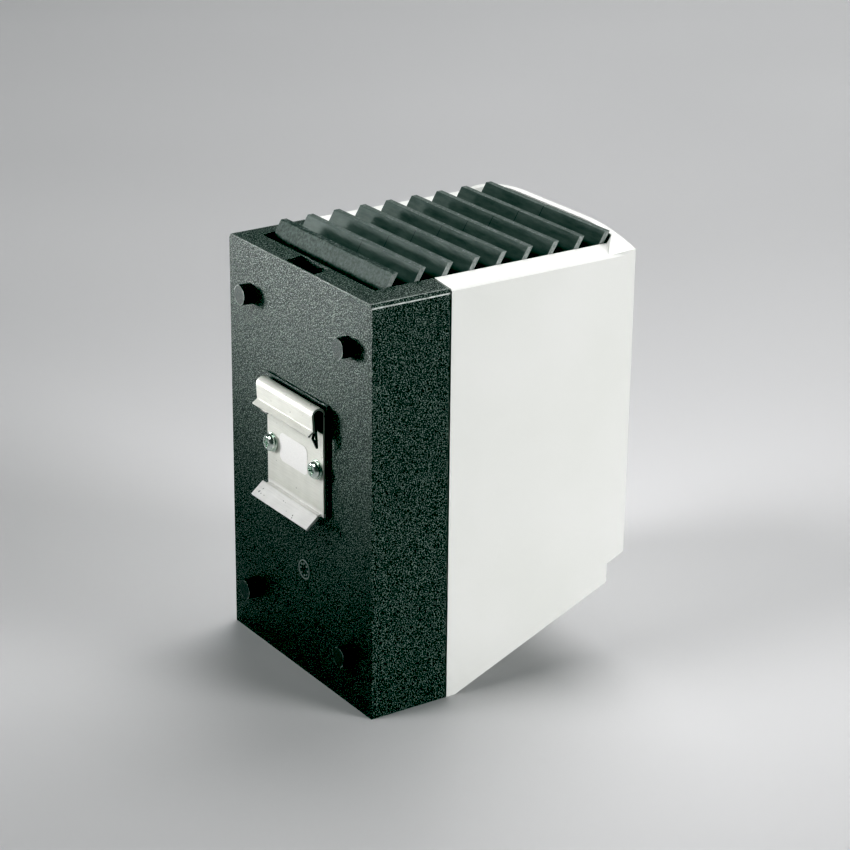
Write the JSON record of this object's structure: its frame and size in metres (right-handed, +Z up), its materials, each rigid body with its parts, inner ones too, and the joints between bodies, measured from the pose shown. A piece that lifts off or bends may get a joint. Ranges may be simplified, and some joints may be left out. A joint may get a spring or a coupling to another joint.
{
  "type": "enclosure heater",
  "caption": "Compact enclosure fan heater: black base with louvred top outlet, light grey hood with sloped slotted underside, and a steel clip on the rear for a top-hat rail.",
  "frame": {"origin": "on the outer face of the rail clip's plate, at the middle of the rail's height and of the width", "axes": "+Z up, front towards -Y, the rail leaves the clip along +Y, X across the width along the rail"},
  "size_m": [0.102, 0.1277, 0.171],
  "materials": {
    "base_black": "fine grained moulded black plastic",
    "hood_grey": "fine matt light grey moulded plastic",
    "grille_black": "smooth satin black moulded plastic",
    "clip_steel": "pale zinc plated sheet, matt",
    "spring_wire": "drawn spring wire",
    "zinc_screw": "bright zinc plated",
    "rubber_black": "matt rubber",
    "terminal_ivory": "moulded ivory plastic",
    "duct_black": "heat resistant moulded black plastic",
    "fan_black": "moulded black plastic",
    "stator_steel": "stamped steel sheet",
    "coil_copper": "enamelled copper winding",
    "board_green": "coated circuit board",
    "bearing_steel": "ground steel",
    "magnet_dark": "pressed ferrite",
    "bar_aluminium": "extruded aluminium",
    "fin_aluminium": "folded aluminium strip",
    "cap_ivory": "heat resistant insulator",
    "tab_brass": "tinned brass tab",
    "cutout_brown": "dark phenolic body",
    "lead_red": "silicone lead insulation",
    "lead_blue": "fan lead insulation"
  },
  "bodies": {
    "housing": {"base_housing": "base_black", "front_hood": "hood_grey", "outlet_grille": "grille_black", "rail_clip": "clip_steel", "clip_spring": "spring_wire", "clip_screws": "zinc_screw", "clip_washers": "zinc_screw", "cable_grommet": "rubber_black", "terminal_block": "terminal_ivory", "terminal_screws": "zinc_screw", "air_duct": "duct_black", "duct_screws": "zinc_screw", "fan_frame": "fan_black", "fan_screws": "zinc_screw", "motor_stator": "stator_steel", "stator_coils": "coil_copper", "motor_board": "board_green", "fan_bearings": "bearing_steel", "heater_bars": "bar_aluminium", "heater_fins": "fin_aluminium", "heater_end_caps": "cap_ivory", "heater_terminals": "tab_brass", "thermal_cutout": "cutout_brown", "cutout_screws": "zinc_screw", "heater_leads": "lead_red", "fan_leads": "lead_blue"},
    "rotor": {"fan_impeller": "fan_black", "rotor_yoke": "stator_steel", "rotor_magnet": "magnet_dark", "fan_shaft": "bearing_steel", "shaft_clip": "zinc_screw"}
  },
  "joints": [
    {"name": "fan_spin", "type": "hinge", "parent": "housing", "child": "rotor", "pos_m": [0, -0.0735, -0.0344], "axis": [0, 0, 1], "continuous": true}
  ]
}
